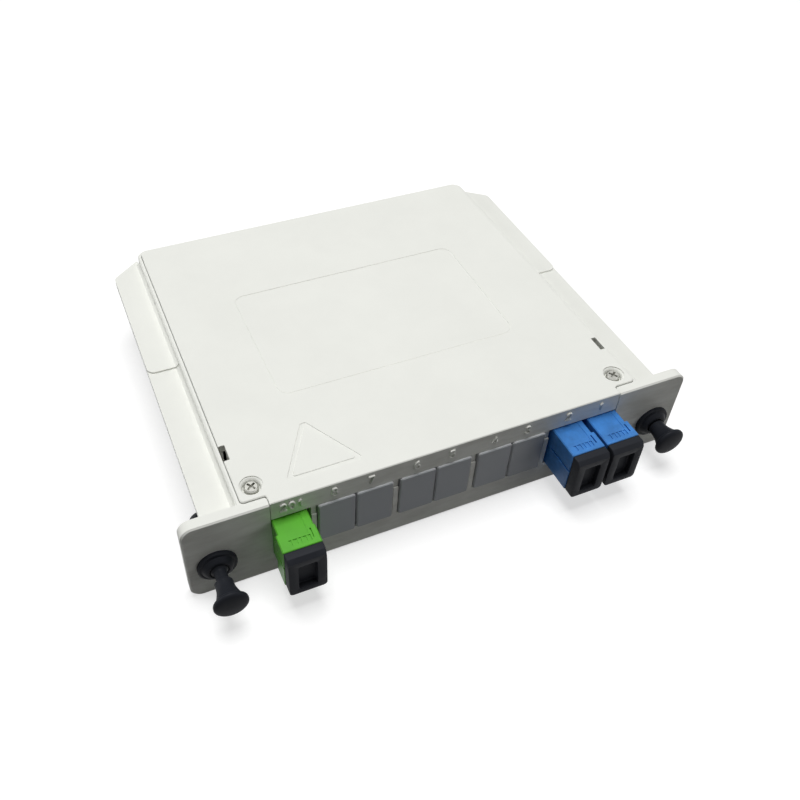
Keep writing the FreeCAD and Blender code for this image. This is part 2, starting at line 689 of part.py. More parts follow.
def dust_cap(x, wider):
    """Pull-off cap: a flange with a finger recess, and a hollow plug that fills the socket."""
    left = x - ADAPTER_W / 2 - wider[0] + CAP_IN
    right = x + ADAPTER_W / 2 + wider[1]
    top = SEAT_Z + ADAPTER_H - CAP_DOWN
    low = top - CAP_H
    back = ADAPTER_FRONT - 0.05
    front = back - CAP_T
    corners = [
        (V(left, back, low), CAP_CORNER),
        (V(right, back, low), CAP_CORNER),
        (V(right, back, top), 0),
        (V(left, back, top), 0),
    ]
    flange = prism(corners, V(0, -CAP_T, 0))
    flange = break_edges(flange, 0.2, on_plane("Y", front))
    middle = (left + right) / 2
    slope = [(V(left - 1, front - 1, top - CAP_SLOPE), 0), (V(left - 1, front + 0.9, top + 1), 0),
             (V(left - 1, front - 1, top + 1), 0)]
    plug_half = CAP_PLUG_W / 2
    plug = block(x - plug_half, x + plug_half, back - 0.5, back + CAP_PLUG_L,
                 PORT_Z - PLUG_HALF_H, PORT_Z + PLUG_HALF_H)
    plug = break_edges(plug, 0.4, on_plane("Y", back + CAP_PLUG_L))
    recess = soft_block(middle - RECESS_W / 2, middle + RECESS_W / 2, front - 1, front + RECESS_SINK,
                        low + RECESS_LOW, low + RECESS_LOW + RECESS_H, 0.4)
    hollow = HOLDER_TUBE_R + 0.3
    cuts = [prism(slope, V(right - left + 2, 0, 0)), recess,
            block(x - hollow, x + hollow, back + 0.5, back + CAP_PLUG_L + 1, PORT_Z - hollow, PORT_Z + hollow)]
    return fuse([flange, plug]).cut(cuts)


# ---------------------------------------------------------------- connectors and fibres


def connector(x):
    """Plug on a fibre's end: an inner body between the holder's arms and a stepped rear body."""
    nose_y = ADAPTER_REAR - CONNECTOR_IN
    half = SOCKET_W / 2 - 0.15
    nose = block(x - 2.9, x + 2.9, nose_y, ADAPTER_REAR, PORT_Z - PLUG_HALF_H, PORT_Z + PLUG_HALF_H)
    grip = soft_block(x - half, x + half, ADAPTER_REAR - 3.5, ADAPTER_REAR + CONNECTOR_OUT,
                      PORT_Z - SOCKET_H / 2 + 0.1, PORT_Z + SOCKET_H / 2 - 0.1, 0.8)
    key = block(x - 1.05, x + 1.05, ADAPTER_REAR - 3.5, ADAPTER_REAR + CONNECTOR_OUT - 2,
                PORT_Z, PORT_Z + SOCKET_H / 2 + 0.6)
    body = fuse([nose, grip, key])
    mouth = HOLDER_TUBE_R + 0.1
    cuts = [block(x - mouth, x + mouth, nose_y - 1, JOINT_Y + HOLDER_T + HOLDER_TUBE_L + 0.3,
                  PORT_Z - mouth, PORT_Z + mouth),
            bar_y(FERRULE_R, x, PORT_Z, nose_y - 1, ADAPTER_REAR)]
    return body.cut(cuts)


def ferrule(x):
    """Ceramic ferrule whose tip stands at the adapter's joint."""
    tip = JOINT_Y + 0.05
    return bar_y(FERRULE_R, x, PORT_Z, tip, ADAPTER_REAR)


def boot(x):
    """Tapered strain relief behind a connector."""
    start = ADAPTER_REAR + CONNECTOR_OUT
    rings = []
    for radius, y in ((2.7, start), (1.3, start + BOOT_L)):
        corners = ring_of(V(x, y, PORT_Z), V(0, 1, 0), radius)
        rings.append(Part.makePolygon(corners + corners[:1]))
    cone = Part.makeLoft(rings, True, True)
    return cone.cut(thin_tube(V(x, start, PORT_Z), V(0, BOOT_L, 0), FIBRE_R + FIBRE_CLEAR))


def fibre(x, bend, end_x, end_y):
    """Sheathed fibre: straight back from its connector, one quarter turn, into the module's boot."""
    side = 1 if end_x > x else -1
    start = V(x, ADAPTER_REAR + CONNECTOR_OUT, PORT_Z)
    turn_in = V(x, end_y - bend, PORT_Z)
    turn_out = V(x + side * bend, end_y, PORT_Z)
    straight = thin_tube(start, turn_in - start, FIBRE_R)
    far_face = [face for face in straight.Faces if abs(face.CenterOfMass.y - turn_in.y) < 1e-6][0]
    curve = far_face.revolve(V(turn_out.x, turn_in.y, 0), V(0, 0, -side), 90)
    tail = thin_tube(turn_out, V(end_x - turn_out.x, 0, 0), FIBRE_R)
    return fuse([straight, curve, tail])


def splitter_module():
    """Steel tube that holds the splitter chip."""
    low = PORT_Z - MODULE_H / 2
    half_l = MODULE_L / 2
    half_w = MODULE_W / 2
    tube = block(MODULE_X - half_l, MODULE_X + half_l, MODULE_Y - half_w, MODULE_Y + half_w,
                 low, low + MODULE_H)
    return break_edges(tube, 0.5, along("X"))


def module_boot(side, offsets):
    """Rubber end of the splitter module, with a hole for each fibre."""
    inner = MODULE_X + side * MODULE_L / 2
    outer = inner + side * MODULE_BOOT_L
    half = MODULE_W / 2
    points = (V(inner, MODULE_Y - half + 0.2, 0), V(outer, MODULE_Y - half + 1.6, 0),
              V(outer, MODULE_Y + half - 1.6, 0), V(inner, MODULE_Y + half - 0.2, 0))
    body = prism([(point, 0) for point in points], V(0, 0, MODULE_H - 0.4))
    body.translate(V(0, 0, PORT_Z - MODULE_H / 2 + 0.2))
    for offset in offsets:
        start = V(inner - side * 0.5, MODULE_Y + offset, PORT_Z)
        body = body.cut(thin_tube(start, V(side * 2 * MODULE_BOOT_L, 0, 0), FIBRE_R + FIBRE_CLEAR))
    return body


# ---------------------------------------------------------------- latches


def latch_grommet(side):
    """Black nylon grommet: ringed flange on the ear, and a slit barrel that grips the shelf's hole."""
    dome = FACE_Y - LATCH_DOME
    rim = LATCH_FLANGE_R
    rim_y = FACE_Y - LATCH_FLANGE_T
    end = LATCH_BARREL_END + LATCH_NOSE_L
    profile = [
        (LATCH_BORE_R, dome), (2.9, dome + 0.15), (rim - 0.9, rim_y - 0.15), (rim, rim_y + 0.3),
        (rim, FACE_Y), (LATCH_BARREL_R, FACE_Y),
        (LATCH_BARREL_R, 0), (LATCH_BARREL_R + LATCH_BEAD, 0), (LATCH_BARREL_R, LATCH_BEAD_L),
        (LATCH_BARREL_R, LATCH_BARREL_END), (LATCH_BORE_R + 0.45, end), (LATCH_BORE_R, end),
    ]
    x = side * LATCH_X
    body = turned(profile, x, LATCH_Z)
    reach = LATCH_BARREL_R + 1
    half = LATCH_SLIT / 2
    slit_y = LATCH_BEAD_L
    return body.cut([block(x - reach, x + reach, slit_y, end + 1, LATCH_Z - half, LATCH_Z + half),
                     block(x - half, x + half, slit_y, end + 1, LATCH_Z - reach, LATCH_Z + reach)])


def latch_plunger(side, pushed):
    """Plunger with a trumpet head that ends in a shoulder, then a waist; pushed is how far in it stands."""
    head = PLUNGER_HEAD_Y + pushed
    tip = PLUNGER_TIP_Y + pushed
    rim = PLUNGER_HEAD_R
    shoulder = head + SHOULDER
    flare = [(rim - lost, head + behind) for behind, lost in FLARE]
    profile = [(0, head - 0.4), (rim - 0.4, head), (rim, head + 0.4)] + flare
    profile += [(PLUNGER_R, shoulder), (PLUNGER_NECK_R, shoulder + 0.2), (PLUNGER_NECK_R, shoulder + NECK_L)]
    profile += [(PLUNGER_R, shoulder + NECK_L + 0.3), (PLUNGER_R, tip - 1.6), (1.0, tip), (0, tip)]
    return turned(profile, side * LATCH_X, LATCH_Z)


# ---------------------------------------------------------------- build

os.makedirs("parts", exist_ok=True)

save("base_tray", base_tray())
save("top_cover", top_cover())

for side, side_name, pushed in ((-1, "left", 0), (1, "right", RIGHT_PUSHED)):
    save("cover_screw_" + side_name, cover_screw(side))
    save("latch_grommet_" + side_name, latch_grommet(side))
    save("latch_plunger_" + side_name, latch_plunger(side, pushed))

for port in range(3, 9):
    save("blank_plate_" + str(port), blank_plate(port))

half_module = MODULE_L / 2 + MODULE_BOOT_L - 1.5
out_end = MODULE_X + half_module
ports = (
    ("input", INPUT_X, INPUT_WIDER, TIGHT_BEND, MODULE_X - half_module, MODULE_Y),
    ("output_1", port_x(1), OUTPUT_WIDER, WIDE_BEND, out_end, MODULE_Y + FIBRE_SPREAD / 2),
    ("output_2", port_x(2), OUTPUT_WIDER, TIGHT_BEND, out_end, MODULE_Y - FIBRE_SPREAD / 2),
)
for name, x, wider, bend, end_x, end_y in ports:
    save(name + "_adapter_front", adapter_front(x, wider))
    save(name + "_adapter_rear", adapter_rear(x))
    save(name + "_holder_front", sleeve_holder(x, -1))
    save(name + "_holder_rear", sleeve_holder(x, 1))
    save(name + "_sleeve", split_sleeve(x))
    save(name + "_dust_cap", dust_cap(x, wider))
    save(name + "_connector", connector(x))
    save(name + "_ferrule", ferrule(x))
    save(name + "_boot", boot(x))
    save(name + "_fibre", fibre(x, bend, end_x, end_y))

save("splitter_module", splitter_module())
save("splitter_boot_in", module_boot(-1, (0,)))
save("splitter_boot_out", module_boot(1, (FIBRE_SPREAD / 2, -FIBRE_SPREAD / 2)))
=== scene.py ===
import bmesh
import bpy
import math
import numpy as np
from mathutils import Matrix, Vector


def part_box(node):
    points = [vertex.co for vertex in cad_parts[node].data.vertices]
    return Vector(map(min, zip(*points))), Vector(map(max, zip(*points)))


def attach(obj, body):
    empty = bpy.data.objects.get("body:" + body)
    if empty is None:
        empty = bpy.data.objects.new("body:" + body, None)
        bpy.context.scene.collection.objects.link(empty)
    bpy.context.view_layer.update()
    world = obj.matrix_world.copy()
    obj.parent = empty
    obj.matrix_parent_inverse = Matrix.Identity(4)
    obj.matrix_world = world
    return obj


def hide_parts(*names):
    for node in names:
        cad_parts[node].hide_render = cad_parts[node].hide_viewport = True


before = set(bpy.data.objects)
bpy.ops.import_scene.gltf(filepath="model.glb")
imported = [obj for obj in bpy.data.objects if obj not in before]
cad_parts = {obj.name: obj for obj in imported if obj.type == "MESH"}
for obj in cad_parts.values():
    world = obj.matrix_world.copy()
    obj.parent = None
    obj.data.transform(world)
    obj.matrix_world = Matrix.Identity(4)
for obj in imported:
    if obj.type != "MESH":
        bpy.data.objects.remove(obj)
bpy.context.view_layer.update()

MM = 0.001


# ---------------------------------------------------------------- tray and cover
# Two injection mouldings in off-white ABS with a fine spark-eroded skin: a tray with its front panel,
# ears and guide rails, and the cover that drops into its rim.  Handling leaves faint rubs on the flats.

def linear(red, green, blue):
    """Colour as the shader wants it, from display values of 0 to 255: the sRGB curve undone."""
    shown = np.array((red, green, blue)) / 255.0
    raw = np.where(shown <= 0.04045, shown / 12.92, ((shown + 0.055) / 1.055) ** 2.4)
    return (float(raw[0]), float(raw[1]), float(raw[2]), 1.0)


def group_of(name, inputs, outputs):
    """Empty shader group with float inputs of (name, value) and float outputs by name."""
    group = bpy.data.node_groups.new(name, "ShaderNodeTree")
    for label, value in inputs:
        socket = group.interface.new_socket(name=label, in_out="INPUT", socket_type="NodeSocketFloat")
        socket.default_value = value
    for label in outputs:
        group.interface.new_socket(name=label, in_out="OUTPUT", socket_type="NodeSocketFloat")
    entry = group.nodes.new("NodeGroupInput")
    leave = group.nodes.new("NodeGroupOutput")
    return group, entry, leave


def moulded_skin():
    """Grain of a spark-eroded mould, slow mottling of its gloss, and faint rubs: noise at three scales on
    object coordinates, the rubs' drawn out along one direction."""
    group, entry, leave = group_of("moulded skin", (("Grain scale", 4000.0), ("Mottle scale", 60.0)),
                                   ("Height", "Mottle", "Rub"))
    nodes = group.nodes
    links = group.links
    place = nodes.new("ShaderNodeTexCoord")
    grain = nodes.new("ShaderNodeTexNoise")
    grain.inputs["Detail"].default_value = 2.0
    links.new(place.outputs["Object"], grain.inputs["Vector"])
    links.new(entry.outputs["Grain scale"], grain.inputs["Scale"])
    links.new(grain.outputs["Fac"], leave.inputs["Height"])
    mottle = nodes.new("ShaderNodeTexNoise")
    mottle.inputs["Detail"].default_value = 5.0
    mottle.inputs["Roughness"].default_value = 0.6
    links.new(place.outputs["Object"], mottle.inputs["Vector"])
    links.new(entry.outputs["Mottle scale"], mottle.inputs["Scale"])
    spread = nodes.new("ShaderNodeMapRange")
    spread.inputs["From Min"].default_value = 0.3
    spread.inputs["From Max"].default_value = 0.7
    links.new(mottle.outputs["Fac"], spread.inputs["Value"])
    links.new(spread.outputs["Result"], leave.inputs["Mottle"])
    stretch = nodes.new("ShaderNodeMapping")
    stretch.inputs["Rotation"].default_value = (0.0, 0.0, 0.5)
    stretch.inputs["Scale"].default_value = (1.0, 14.0, 14.0)
    links.new(place.outputs["Object"], stretch.inputs["Vector"])
    rub = nodes.new("ShaderNodeTexNoise")
    rub.inputs["Scale"].default_value = 45.0
    rub.inputs["Detail"].default_value = 8.0
    links.new(stretch.outputs["Vector"], rub.inputs["Vector"])
    limit = nodes.new("ShaderNodeMapRange")
    limit.inputs["From Min"].default_value = 0.60
    limit.inputs["From Max"].default_value = 0.72
    links.new(rub.outputs["Fac"], limit.inputs["Value"])
    links.new(limit.outputs["Result"], leave.inputs["Rub"])
    return group


SKIN = moulded_skin()


def flow_streaks():
    """Masks on faces that look forward: Forward, how far the face's normal leans to -Y, which lays painted
    shade on the blanks; and Streak, faint noise drawn out sideways on object coordinates, times Forward."""
    group, entry, leave = group_of("forward masks", (("Scale", 60.0),), ("Forward", "Streak"))
    nodes = group.nodes
    links = group.links
    place = nodes.new("ShaderNodeTexCoord")
    stretch = nodes.new("ShaderNodeMapping")
    stretch.inputs["Rotation"].default_value = (0.0, 0.12, 0.0)
    stretch.inputs["Scale"].default_value = (1.0, 1.0, 3.5)
    links.new(place.outputs["Object"], stretch.inputs["Vector"])
    streak = nodes.new("ShaderNodeTexNoise")
    streak.inputs["Detail"].default_value = 6.0
    streak.inputs["Roughness"].default_value = 0.65
    links.new(stretch.outputs["Vector"], streak.inputs["Vector"])
    links.new(entry.outputs["Scale"], streak.inputs["Scale"])
    limit = nodes.new("ShaderNodeMapRange")
    limit.inputs["From Min"].default_value = 0.38
    limit.inputs["From Max"].default_value = 0.68
    links.new(streak.outputs["Fac"], limit.inputs["Value"])
    lean = nodes.new("ShaderNodeSeparateXYZ")
    links.new(place.outputs["Normal"], lean.inputs["Vector"])
    forward = nodes.new("ShaderNodeMath")
    forward.operation = "MULTIPLY"
    forward.use_clamp = True
    forward.inputs[1].default_value = -1.0
    links.new(lean.outputs["Y"], forward.inputs[0])
    both = nodes.new("ShaderNodeMath")
    both.operation = "MULTIPLY"
    links.new(forward.outputs["Value"], both.inputs[0])
    links.new(limit.outputs["Result"], both.inputs[1])
    links.new(both.outputs["Value"], leave.inputs["Streak"])
    links.new(forward.outputs["Value"], leave.inputs["Forward"])
    return group


FORWARD_MASKS = flow_streaks()


def faced(material, colour, mask):
    """Lay another colour over a plastic's own by one of the forward masks: painted shade on faces that look
    forward, or darker streaks on them.
    """
    nodes = material.node_tree.nodes
    links = material.node_tree.links
    shader = nodes["Principled BSDF"]
    own = shader.inputs["Base Color"].links[0].from_socket
    flow = nodes.new("ShaderNodeGroup")
    flow.node_tree = FORWARD_MASKS
    over = nodes.new("ShaderNodeMixRGB")
    over.inputs["Color2"].default_value = colour
    links.new(flow.outputs[mask], over.inputs["Fac"])
    links.new(own, over.inputs["Color1"])
    links.new(over.outputs["Color"], shader.inputs["Base Color"])


GLOSS_DRIFT = 0.06
RUB_SHINE = 0.12


def moulded_plastic(name, colour, rough, grain=4000.0, depth=0.00001, strength=0.25, shift=0.04,
                    level=0.5, mottle=60.0):
    """Plastic whose colour and gloss drift with the skin's mottling, whose rubs shine, and whose grain
    is a bump."""
    material = bpy.data.materials.new(name)
    material.use_nodes = True
    nodes = material.node_tree.nodes
    links = material.node_tree.links
    shader = nodes["Principled BSDF"]
    shader.inputs["Specular IOR Level"].default_value = level
    skin = nodes.new("ShaderNodeGroup")
    skin.node_tree = SKIN
    skin.inputs["Grain scale"].default_value = grain
    skin.inputs["Mottle scale"].default_value = mottle
    tint = nodes.new("ShaderNodeMixRGB")
    darker = [part * (1 - shift) for part in colour[:3]]
    lighter = [min(part * (1 + shift), 1.0) for part in colour[:3]]
    tint.inputs["Color1"].default_value = (*darker, 1.0)
    tint.inputs["Color2"].default_value = (*lighter, 1.0)
    links.new(skin.outputs["Mottle"], tint.inputs["Fac"])
    links.new(tint.outputs["Color"], shader.inputs["Base Color"])
    gloss = nodes.new("ShaderNodeMapRange")
    gloss.inputs["To Min"].default_value = rough + GLOSS_DRIFT
    gloss.inputs["To Max"].default_value = rough - GLOSS_DRIFT
    links.new(skin.outputs["Mottle"], gloss.inputs["Value"])
    worn = nodes.new("ShaderNodeMath")
    worn.operation = "MULTIPLY_ADD"
    worn.inputs[1].default_value = -RUB_SHINE
    links.new(skin.outputs["Rub"], worn.inputs[0])
    links.new(gloss.outputs["Result"], worn.inputs[2])
    links.new(worn.outputs["Value"], shader.inputs["Roughness"])
    bump = nodes.new("ShaderNodeBump")
    bump.inputs["Distance"].default_value = depth
    bump.inputs["Strength"].default_value = strength
    links.new(skin.outputs["Height"], bump.inputs["Height"])
    links.new(bump.outputs["Normal"], shader.inputs["Normal"])
    return material


def finish_node(name, material):
    """Give a carried-over piece its material in every slot."""
    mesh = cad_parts[name].data
    mesh.materials.clear()
    mesh.materials.append(material)


housing_white = moulded_plastic("off-white ABS", linear(233, 234, 228), 0.5, level=0.3, shift=0.02)
# Darker streaks laid over faces that lean forward.
faced(housing_white, linear(208, 208, 201), "Streak")
for name in ("base_tray", "top_cover"):
    finish_node(name, housing_white)

box_low, box_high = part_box("top_cover")
COVER_TOP = box_high.z
LIP_FACE = box_low.y


def grid_mesh(name, grids):
    """Mesh over grids of points (rows, columns, 3), each with its last column joined to its first.
    Coincident points, such as a pole's, are merged and the faces are turned outward."""
    points = []
    quads = []
    first = 0
    for grid in grids:
        rows, columns = grid.shape[:2]
        row = np.arange(rows - 1)[:, None]
        column = np.arange(columns)[None, :]
        after = (column + 1) % columns
        quads.append(first + np.stack([row * columns + column, row * columns + after,
                                       (row + 1) * columns + after, (row + 1) * columns + column],
                                      axis=-1).reshape(-1, 4))
        points.append(grid.reshape(-1, 3))
        first += rows * columns
    mesh = bpy.data.meshes.new(name)
    mesh.from_pydata(np.concatenate(points), [], np.concatenate(quads))
    shape = bmesh.new()
    shape.from_mesh(mesh)
    bmesh.ops.remove_doubles(shape, verts=shape.verts, dist=1e-6)
    bmesh.ops.recalc_face_normals(shape, faces=shape.faces)
    shape.to_mesh(mesh)
    shape.free()
    return mesh


def place_piece(name, mesh, material, body, smooth=40.0):
    """Object for a finished mesh, shaded smooth up to an angle in degrees, riding on a body."""
    mesh.polygons.foreach_set("use_smooth", [True] * len(mesh.polygons))
    mesh.set_sharp_from_angle(angle=math.radians(smooth))
    mesh.materials.clear()
    mesh.materials.append(material)
    piece = bpy.data.objects.new(name, mesh)
    bpy.context.scene.collection.objects.link(piece)
    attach(piece, body)
    return piece


def surface(name, grids, material, body, smooth=40.0):
    """Finished piece over grids of points."""
    return place_piece(name, grid_mesh(name, grids), material, body, smooth)


def rounded_path(corners, radius):
    """Closed path through a polygon's (x, y) corners, each rounded to a radius by an arc of nine points."""
    corners = np.array(corners)
    before = np.roll(corners, 1, axis=0) - corners
    ahead = np.roll(corners, -1, axis=0) - corners
    before /= np.linalg.norm(before, axis=1)[:, None]
    ahead /= np.linalg.norm(ahead, axis=1)[:, None]
    half = np.arccos(np.sum(before * ahead, axis=1)) / 2
    inward = (before + ahead) / np.linalg.norm(before + ahead, axis=1)[:, None]
    centre = corners + inward * (radius / np.sin(half))[:, None]
    start = corners + before * (radius / np.tan(half))[:, None] - centre
    end = corners + ahead * (radius / np.tan(half))[:, None] - centre
    share = np.linspace(0, 1, 9)[None, :, None]
    angle = (np.pi - 2 * half)[:, None, None]
    bend = (np.sin((1 - share) * angle) * start[:, None]
            + np.sin(share * angle) * end[:, None]) / np.sin(angle)
    return (centre[:, None] + bend).reshape(-1, 2)


TRIANGLE_X = -30.45 * MM
TRIANGLE_FRONT = LIP_FACE + 4.2 * MM
TRIANGLE_HALF = 9.6 * MM
TRIANGLE_CORNER = 1.1 * MM
LEAST_CORNER = 0.3 * MM
GROOVE_WIDTH = 1.2 * MM
GROOVE_DEPTH = 0.2 * MM
GROOVE_DRAFT = 0.1 * MM


def triangle_ring(inset, z):
    """The triangle's rounded outline moved in by a distance, at a height; its corners tighten as it
    shrinks."""
    half = TRIANGLE_HALF - inset * math.sqrt(3)
    front = TRIANGLE_FRONT + inset
    corners = ((TRIANGLE_X - half, front), (TRIANGLE_X + half, front),
               (TRIANGLE_X, front + half * math.sqrt(3)))
    path = rounded_path(corners, max(TRIANGLE_CORNER - inset * 0.6, LEAST_CORNER))
    return np.concatenate([path, np.full((len(path), 1), z)], axis=1)


LABEL_HALF = 32.4 * MM
LABEL_FRONT = LIP_FACE + 29.9 * MM
LABEL_REAR = LIP_FACE + 69.5 * MM
LABEL_CORNER = 3.0 * MM
LABEL_LINE = 0.24 * MM
LABEL_LINE_DEPTH = 0.13 * MM
LABEL_LINE_DRAFT = 0.09 * MM


def label_ring(inset, z):
    """The label recess's rounded outline moved in by a distance, at a height."""
    half = LABEL_HALF - inset
    corners = ((-half, LABEL_FRONT + inset), (half, LABEL_FRONT + inset),
               (half, LABEL_REAR - inset), (-half, LABEL_REAR - inset))
    path = rounded_path(corners, LABEL_CORNER - inset)
    return np.concatenate([path, np.full((len(path), 1), z)], axis=1)


CUT_ABOVE = 0.2 * MM


def groove_cutter(name, ring, width, draft, depth):
    """Closed band to cut a groove: a trapezium with drafted sides carried round an outline."""
    above = COVER_TOP + CUT_ABOVE
    bottom = COVER_TOP - depth
    rings = [ring(0.0, above), ring(0.0, COVER_TOP), ring(draft, bottom), ring(width - draft, bottom),
             ring(width, COVER_TOP), ring(width, above)]
    return bpy.data.objects.new(name, grid_mesh(name, [np.stack(rings + rings[:1])]))


def box_cutter(name, low, high):
    """Closed box between two corners, to cut with."""
    corners = np.array([(low[0], low[1]), (high[0], low[1]), (high[0], high[1]), (low[0], high[1])])
    rings = [np.concatenate([corners, np.full((4, 1), z)], axis=1) for z in (low[2], high[2])]
    poles = [np.broadcast_to(ring.mean(axis=0), ring.shape) for ring in rings]
    return bpy.data.objects.new(name, grid_mesh(name, [np.stack([poles[0]] + rings + [poles[1]])]))


def carved(node, cutters):
    """Copy of a carried-over piece's mesh with its loose triangles joined and the cutters taken away."""
    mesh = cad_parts[node].data.copy()
    for attribute in [item for item in mesh.attributes if item.name == "custom_normal"]:
        mesh.attributes.remove(attribute)
    shape = bmesh.new()
    shape.from_mesh(mesh)
    bmesh.ops.remove_doubles(shape, verts=shape.verts, dist=1e-6)
    shape.to_mesh(mesh)
    shape.free()
    blank = bpy.data.objects.new(node + " blank", mesh)
    for item in [blank] + cutters:
        bpy.context.scene.collection.objects.link(item)
    for cutter in cutters:
        cut = blank.modifiers.new("cut", "BOOLEAN")
        cut.operation = "DIFFERENCE"
        cut.solver = "EXACT"
        cut.object = cutter
    bpy.context.view_layer.update()
    result = bpy.data.meshes.new_from_object(blank.evaluated_get(bpy.context.evaluated_depsgraph_get()))
    for item in [blank] + cutters:
        bpy.data.objects.remove(item)
    return result


# The cover's front lip ends a little short at the right, so its seam with the panel is wider there.
LIP_END = 45.025 * MM
LIP_THICK = 2.4 * MM
LIP_DROP = 9.0 * MM
SEAM_WIDER = 0.16 * MM
BEYOND_END = 0.05 * MM

cover_cutters = [
    groove_cutter("triangle cutter", triangle_ring, GROOVE_WIDTH, GROOVE_DRAFT, GROOVE_DEPTH),
    groove_cutter("label cutter", label_ring, LABEL_LINE, LABEL_LINE_DRAFT, LABEL_LINE_DEPTH),
    box_cutter("seam cutter", (LIP_END - SEAM_WIDER, LIP_FACE - 1 * MM, COVER_TOP - LIP_DROP),
               (LIP_END + BEYOND_END, LIP_FACE + LIP_THICK, COVER_TOP + 1 * MM))]
cover = place_piece("cover", carved("top_cover", cover_cutters), housing_white, "housing", smooth=30.0)
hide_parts("top_cover")


# ---------------------------------------------------------------- port numbers
# Raised numbers moulded on the cover's front lip, one over each seat: square-shouldered beads just under
# half a millimetre proud, which taper off at their ends.

NUMERAL_TALL = 2.3 * MM
NUMERAL_WIDE = 1.3 * MM
NUMERAL_PITCH = 1.95 * MM
BEAD_WIDTH = 0.46 * MM
BEAD_RISE = 0.45 * MM
BEAD_SINK = 0.05 * MM
BEAD_POWER = 0.6
TIP_SHOULDER = 0.7
INPUT_SHIFT = 0.7 * MM
ODD_SHIFT = -1.0 * MM
EVEN_SHIFT = -0.5 * MM


def eased(points, rounds=2):
    """Corners of an open path cut in rounds: each gives way to points at 1/4 and 3/4 of the runs beside
    it."""
    path = np.array(points, dtype=float)
    for _ in range(rounds):
        near = path[:-1] * 0.75 + path[1:] * 0.25
        far = path[:-1] * 0.25 + path[1:] * 0.75
        path = np.concatenate([path[:1], np.stack([near, far], axis=1).reshape(-1, 2), path[-1:]])
    return path


def arc(x, z, wide, tall, start, end):
    """Arc of an ellipse as 17 points from one angle in degrees to another."""
    turn = np.radians(np.linspace(start, end, 17))[:, None]
    return np.concatenate([x + wide * np.cos(turn), z + tall * np.sin(turn)], axis=1)


def strokes_of(digit):
    """Centre lines of a digit in a box from -0.5 to 0.5 wide and -0.5 to 0.5 tall."""
    if digit == "0":
        return [arc(0, 0, 0.48, 0.5, 0, 360)]
    if digit == "1":
        return [eased([(-0.22, 0.24), (0.12, 0.5), (0.12, 0.42), (0.12, -0.5)], 1)]
    if digit == "2":
        return [np.concatenate([arc(0, 0.22, 0.46, 0.28, 165, -25), [(-0.46, -0.5), (0.48, -0.5)]])]
    if digit == "3":
        return [np.concatenate([arc(0, 0.26, 0.4, 0.24, 155, -80), arc(0, -0.24, 0.46, 0.26, 80, -155)])]
    if digit == "4":
        return [np.array([(0.5, -0.2), (-0.46, -0.2), (0.18, 0.5), (0.2, 0.3), (0.2, -0.5)])]
    if digit == "5":
        top = [(0.4, 0.5), (-0.32, 0.5), (-0.4, 0.02)]
        return [np.concatenate([top, arc(0, -0.18, 0.46, 0.32, 130, -155)])]
    if digit == "6":
        stem = arc(0.3, -0.16, 0.75, 0.66, 95, 180)
        return [np.concatenate([stem, arc(0, -0.22, 0.45, 0.28, 180, 540)[1:]])]
    if digit == "7":
        return [np.array([(-0.48, 0.5), (0.46, 0.5), (0.3, 0.2), (-0.12, -0.5)])]
    return [arc(0, 0.26, 0.38, 0.24, 0, 360), arc(0, -0.24, 0.46, 0.26, 0, 360)]


def bead(line, x, z):
    """Square-shouldered bead on the lip along a centre line: across it (width/2) times cos t, and outward
    the rise times sin t, with cos t and sin t taken to the bead's power, and with a flat back.
    An open line's ends narrow to a point over half the bead's width; a closed one joins up."""
    path = line * (NUMERAL_WIDE, NUMERAL_TALL) + (x, z)
    looped = np.allclose(path[0], path[-1])
    along = np.gradient(path, axis=0)
    if looped:
        along[0] = along[-1] = path[1] - path[-2]
    along /= np.linalg.norm(along, axis=1)[:, None]
    swell = np.ones(len(path))
    if not looped:
        tip = BEAD_WIDTH / 2
        path = np.concatenate([[path[0] - along[0] * tip, path[0] - along[0] * tip * TIP_SHOULDER], path,
                               [path[-1] + along[-1] * tip * TIP_SHOULDER, path[-1] + along[-1] * tip]])
        along = np.concatenate([along[:1], along[:1], along, along[-1:], along[-1:]])
        swell = np.concatenate([[0.0, TIP_SHOULDER], swell, [TIP_SHOULDER, 0.0]])
    across = np.stack([along[:, 1], -along[:, 0]], axis=1)[:, None]
    turn = np.linspace(0, np.pi, 9)[None, :, None]
    wide = np.sign(np.cos(turn)) * np.abs(np.cos(turn)) ** BEAD_POWER
    tall = np.clip(np.sin(turn), 0.0, 1.0) ** BEAD_POWER
    flat = path[:, None] + across * (BEAD_WIDTH / 2) * wide * swell[:, None, None]
    rise = BEAD_RISE * tall * swell[:, None, None] - BEAD_SINK
    return np.concatenate([flat[..., :1], LIP_FACE - rise, flat[..., 1:]], axis=-1)


def numeral(text, x):
    """One number on the lip, its digits a pitch apart about x, halfway from the seats' tops to the
    cover's."""
    seat_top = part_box("blank_plate_8")[1].z
    z = (seat_top + COVER_TOP) / 2
    grids = []
    for index, digit in enumerate(text):
        middle = x + (index - (len(text) - 1) / 2) * NUMERAL_PITCH
        grids += [bead(line, middle, z) for line in strokes_of(digit)]
    piece = surface("numeral_" + text, grids, housing_white, "housing", smooth=60.0)


def middle_x(node):
    """Middle of a piece across the panel."""
    low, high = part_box(node)
    return (low.x + high.x) / 2


numeral("201", middle_x("input_adapter_rear") + INPUT_SHIFT)
for port in range(3, 9):
    numeral(str(port), middle_x("blank_plate_" + str(port)) + (ODD_SHIFT if port % 2 else EVEN_SHIFT))
numeral("2", middle_x("output_2_adapter_rear") + EVEN_SHIFT)
numeral("1", middle_x("output_1_adapter_rear") + ODD_SHIFT)


# ---------------------------------------------------------------- cover screws
# Zinc-plated pan-head self-tapping screws with a cross recess.  Each head sits in a round pocket of the
# cover, whose wall runs into its floor in a dished fillet.

